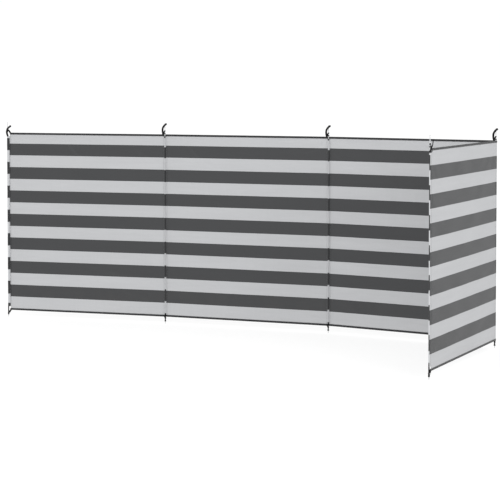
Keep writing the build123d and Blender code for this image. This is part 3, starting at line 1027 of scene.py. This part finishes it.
def both_ways(front, back, r, zc, up, steep=1.6):
    """A loop: its front tail from the tape to the rod, round the rod, and its back tail down again."""
    turn = []
    for a in (-90, -135, -180, -225, -270):
        lift = up * steep * (1 - math.cos(math.radians(a + 90)) ) / 2
        turn.append((r * math.cos(math.radians(a)), r * math.sin(math.radians(a)), zc + lift))
    return front + turn + back


TOP_END = both_ways([(27.0, 2.75, TOP - 10.0), (24.0, 2.7, TOP - 5.0), (19.2, 2.2, TOP + 3.5), (13.2, 0.3, TOP + 13.0), (7.6, -2.4, TOP + 21.0), (3.6, -3.7, TOP + 25.0)],
                    [(3.8, 4.6, TOP + 25.0), (7.8, 6.0, TOP + 21.0), (13.2, 7.4, TOP + 13.0), (19.2, 8.2, TOP + 3.5), (24.0, 8.4, TOP - 5.0), (27.0, 8.35, TOP - 10.0)],
                    3.95, TOP + 26.8, 1)
TOP_MID = both_ways([(17.8, 2.75, TOP - 10.0), (16.6, 2.7, TOP - 4.5), (14.4, 2.2, TOP + 4.5), (11.3, 0.2, TOP + 14.0), (7.0, -2.5, TOP + 21.8), (3.4, -3.75, TOP + 25.2)],
                    [(3.6, 4.6, TOP + 25.2), (7.2, 6.1, TOP + 21.8), (11.3, 7.4, TOP + 14.0), (14.4, 8.2, TOP + 4.5), (16.6, 8.4, TOP - 4.5), (17.8, 8.35, TOP - 10.0)],
                    3.95, TOP + 26.8, 1)
TOP_LAST = both_ways([(24.5, 2.75, TOP - 10.0), (22.4, 2.7, TOP - 5.0), (18.4, 2.2, TOP + 3.5), (12.9, 0.3, TOP + 13.0), (7.6, -2.4, TOP + 21.0), (3.6, -3.7, TOP + 25.0)],
                     [(2.6, 4.7, TOP + 24.6), (3.6, 5.6, TOP + 18.0), (3.2, 6.6, TOP + 8.0), (3.8, 7.9, TOP - 2.0), (7.4, 8.7, TOP - 10.5), (14.0, 9.0, TOP - 17.5), (21.0, 8.9, TOP - 22.5)],
                     3.95, TOP + 26.8, 1)
LOW_FIRST = both_ways([(22.5, 2.75, LOW + 10.0), (19.5, 2.7, LOW + 5.0), (15.6, 1.5, LOW - 3.0), (11.4, -1.4, LOW - 10.5), (7.4, -4.2, LOW - 16.5), (3.6, -5.4, LOW - 19.6)],
                      [(4.0, 6.1, LOW - 19.6), (7.8, 6.9, LOW - 16.5), (11.4, 7.7, LOW - 10.5), (15.6, 8.2, LOW - 3.0), (19.5, 8.4, LOW + 5.0), (22.5, 8.35, LOW + 10.0)],
                      5.55, LOW - 21.0, -1)
LOW_LAST = both_ways([(14.0, 2.75, LOW + 10.5), (13.0, 2.7, LOW + 4.5), (11.6, 1.2, LOW - 3.5), (9.6, -1.8, LOW - 10.8), (7.0, -4.3, LOW - 16.5), (3.6, -5.4, LOW - 19.8)],
                     [(4.0, 6.1, LOW - 19.8), (7.2, 6.9, LOW - 16.5), (9.8, 7.7, LOW - 10.8), (11.6, 8.2, LOW - 3.5), (13.0, 8.4, LOW + 4.5), (14.0, 8.35, LOW + 10.5)],
                     5.55, LOW - 21.0, -1)
LOW_MID = ([(5.6 * math.cos(math.radians(a)), 5.6 * math.sin(math.radians(a)), LOW - 9.2) for a in (125, 90, 45, 0, -45, -90, -135, -180)]
           + [(-5.6, 3.0, LOW - 9.2), (-3.9, 6.1, LOW - 9.1), (0.0, 7.5, LOW - 8.4), (4.2, 8.3, LOW - 6.0), (7.6, 8.7, LOW - 1.6), (9.9, 8.7, LOW + 4.2), (11.4, 8.5, LOW + 10.5)])

for j in range(1, 6):
    k = 0 if j == 1 else j - 2
    xo = 0.0 if j == 1 else BAY
    s = 1 if j == 1 else -1
    if j in (1, 5):
        x_top, x_low = (25.0, 20.5) if j == 1 else (23.0, 13.4)
        top = webbing_loop("top_loop_%d" % j, k, xo, s, TOP_END if j == 1 else TOP_LAST, 5.7, [(x_top, 1.95, TOP - 6.0), (x_top, 9.2, TOP - 6.0) if j == 1 else (16.5, 9.75, TOP - 19.5)])
        low = webbing_loop("bottom_loop_%d" % j, k, xo, s, LOW_FIRST if j == 1 else LOW_LAST, 5.8, [(x_low, 1.95, LOW + 6.5), (x_low, 9.2, LOW + 6.5)])
    else:
        top = webbing_loop("top_loop_%d" % j, k, xo, s, TOP_MID, 5.5, [(17.0, 1.95, TOP - 6.0), (17.0, 9.2, TOP - 6.0)])
        low = webbing_loop("bottom_loop_%d" % j, k, xo, s, LOW_MID, 5.8, [(10.9, 9.3, LOW + 7.5)])
    for (ob, rows), label in ((top, "top"), (low, "bottom")):
        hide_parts("%s_strap_%d" % (label, j))
        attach(ob, body[k])
        th = thread_mesh("%s_loop_thread_%d" % (label, j), rows, M_THREAD_G, 1.7, 0.3)
        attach(th, body[k])

# ---- carried-over pieces: rods and foot collars -----------------------------------
for name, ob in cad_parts.items():
    if name.startswith("pole_"):
        mat = M_STEEL
    elif name.startswith("foot_collar_"):
        mat = M_MOULD
    else:
        continue
    ob.data.materials.clear()
    ob.data.materials.append(mat)

for k in range(4):
    xa, xb = CLOTH_X[k]

# ---- studio ------------------------------------------------------------------------
scene = bpy.context.scene
scene.view_settings.view_transform = "Standard"
scene.view_settings.look = "None"
scene.view_settings.exposure = 0.0
scene.view_settings.gamma = 1.0

world = bpy.data.worlds.new("studio")
scene.world = world
world.use_nodes = True
bg = world.node_tree.nodes["Background"]
bg.inputs[0].default_value = (1.0, 1.0, 1.0, 1.0)
bg.inputs[1].default_value = 1.02

floor_me = bpy.data.meshes.new("floor")
S = 60.0
floor_me.from_pydata([(-S, -S, 0), (S, -S, 0), (S, S, 0), (-S, S, 0)], [], [(0, 1, 2, 3)])
floor = bpy.data.objects.new("floor", floor_me)
scene.collection.objects.link(floor)
fm = bpy.data.materials.new("floor_white")
fm.use_nodes = True
fb = fm.node_tree.nodes["Principled BSDF"]
fb.inputs["Base Color"].default_value = (0.30, 0.30, 0.30, 1)
fb.inputs["Roughness"].default_value = 0.9
fb.inputs["Specular IOR Level"].default_value = 0.0
fb.inputs["Emission Color"].default_value = (1, 1, 1, 1)
fb.inputs["Emission Strength"].default_value = 0.74
floor_me.materials.append(fm)
floor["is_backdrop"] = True


def area(name, at, aim, size, power, colour=(1, 1, 1)):
    d = bpy.data.lights.new(name, "AREA")
    d.shape = "RECTANGLE"
    d.size, d.size_y = size
    d.energy = power
    d.color = colour
    o = bpy.data.objects.new(name, d)
    scene.collection.objects.link(o)
    o.location = at
    from mathutils import Vector
    o.rotation_euler = (Vector(aim) - Vector(at)).to_track_quat("-Z", "Y").to_euler()
    return o


area("key", (1.0, -11.5, 6.5), (2.4, -0.2, 0.8), (7.0, 4.0), 280.0)
area("fill", (9.5, -6.5, 3.6), (4.0, -1.1, 0.8), (3.0, 3.0), 120.0)

cam_d = bpy.data.cameras.new("camera")
cam_d.sensor_width = 36.0
cam_d.lens = 116.54
cam_d.shift_y = -0.2130
cam_d.clip_end = 200.0
cam = bpy.data.objects.new("camera", cam_d)
scene.collection.objects.link(cam)
cam.location = (5.7552, -12.4943, 2.0564)
cam.rotation_euler = (math.radians(87.5), 0.0, math.radians(16.207))
scene.camera = cam

low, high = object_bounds()
